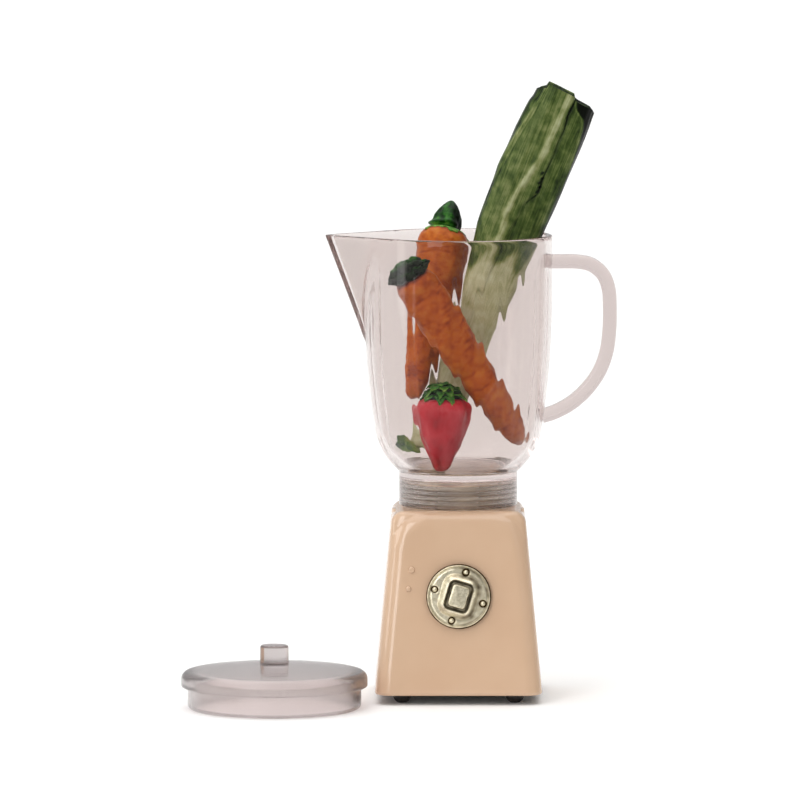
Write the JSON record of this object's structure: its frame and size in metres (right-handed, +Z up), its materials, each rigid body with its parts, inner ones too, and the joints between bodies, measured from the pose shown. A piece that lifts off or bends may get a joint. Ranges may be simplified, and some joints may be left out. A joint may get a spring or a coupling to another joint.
{
  "type": "toy blender",
  "caption": "Doll-size toy blender: enamelled base with a turning dial and push button, lift-off clear jug with spout and handle, a loose lid, and painted toy vegetables in the jug.",
  "frame": {"origin": "point on the floor under the jug's upright axis, midway between the four feet", "axes": "+Z up along the jug's axis; the dial faces -Y, the spout points to -X and the handle to +X"},
  "size_m": [0.0825, 0.0544, 0.1178],
  "materials": {
    "housing_enamel": "glossy enamel",
    "zinc_plate": "zinc-plated",
    "foot_rubber": "matt",
    "screw_steel": "satin",
    "spigot_metal": "turned, tarnished",
    "antique_silver": "antiqued casting",
    "spring_steel": "bright wire",
    "clear_plastic": "clear, faint mauve tint",
    "leek_paint": "hand-painted resin",
    "carrot_paint": "hand-painted resin",
    "strawberry_paint": "hand-painted resin"
  },
  "bodies": {
    "base": {"housing": "housing_enamel", "base_plate": "zinc_plate", "foot_front_left": "foot_rubber", "foot_front_right": "foot_rubber", "foot_back_left": "foot_rubber", "foot_back_right": "foot_rubber", "base_plate_screws": "screw_steel", "spigot": "spigot_metal", "spigot_screw": "screw_steel", "spigot_washer": "zinc_plate"},
    "dial": {"dial": "antique_silver", "dial_rivets": "antique_silver", "dial_clip": "spring_steel", "button_spring": "spring_steel"},
    "button": {"switch_button": "antique_silver", "button_clip": "spring_steel"},
    "jug": {"jug": "clear_plastic", "jug_handle": "clear_plastic"},
    "lid": {"lid": "clear_plastic"},
    "leek": {"leek": "leek_paint"},
    "carrot_back": {"carrot_back": "carrot_paint"},
    "carrot_front": {"carrot_front": "carrot_paint"},
    "strawberry": {"strawberry": "strawberry_paint"}
  },
  "joints": [
    {"name": "dial_turn", "type": "hinge", "parent": "base", "child": "dial", "pos_m": [0, -0.01411, 0.0206], "axis": [0, -0.9955, 0.0947], "continuous": true},
    {"name": "button_press", "type": "slide", "parent": "dial", "child": "button", "axis": [0, 0.9955, -0.0947], "range_m": [0, 0.0006], "stiffness_N_per_m": 100, "springref_m": -0.001, "deforming": ["button_spring"]},
    {"name": "jug_lift", "type": "slide", "parent": "base", "child": "jug", "axis": [0, 0, 1], "range_m": [0, 0.06]},
    {"name": "lid_lift", "type": "slide", "parent": "base", "child": "lid", "axis": [0, 0, 1], "range_m": [0, 0.06]},
    {"name": "leek_lift", "type": "slide", "parent": "jug", "child": "leek", "axis": [0.36, -0.0259, 0.9326], "range_m": [0, 0.06]},
    {"name": "carrot_back_lift", "type": "slide", "parent": "jug", "child": "carrot_back", "axis": [-0.0588, 0.1863, 0.9807], "range_m": [0, 0.045]},
    {"name": "carrot_front_lift", "type": "slide", "parent": "jug", "child": "carrot_front", "axis": [0.0497, -0.0994, 0.9938], "range_m": [0, 0.05]},
    {"name": "strawberry_lift", "type": "slide", "parent": "jug", "child": "strawberry", "axis": [-0.5375, -0.1654, 0.8269], "range_m": [0, 0.002]}
  ]
}
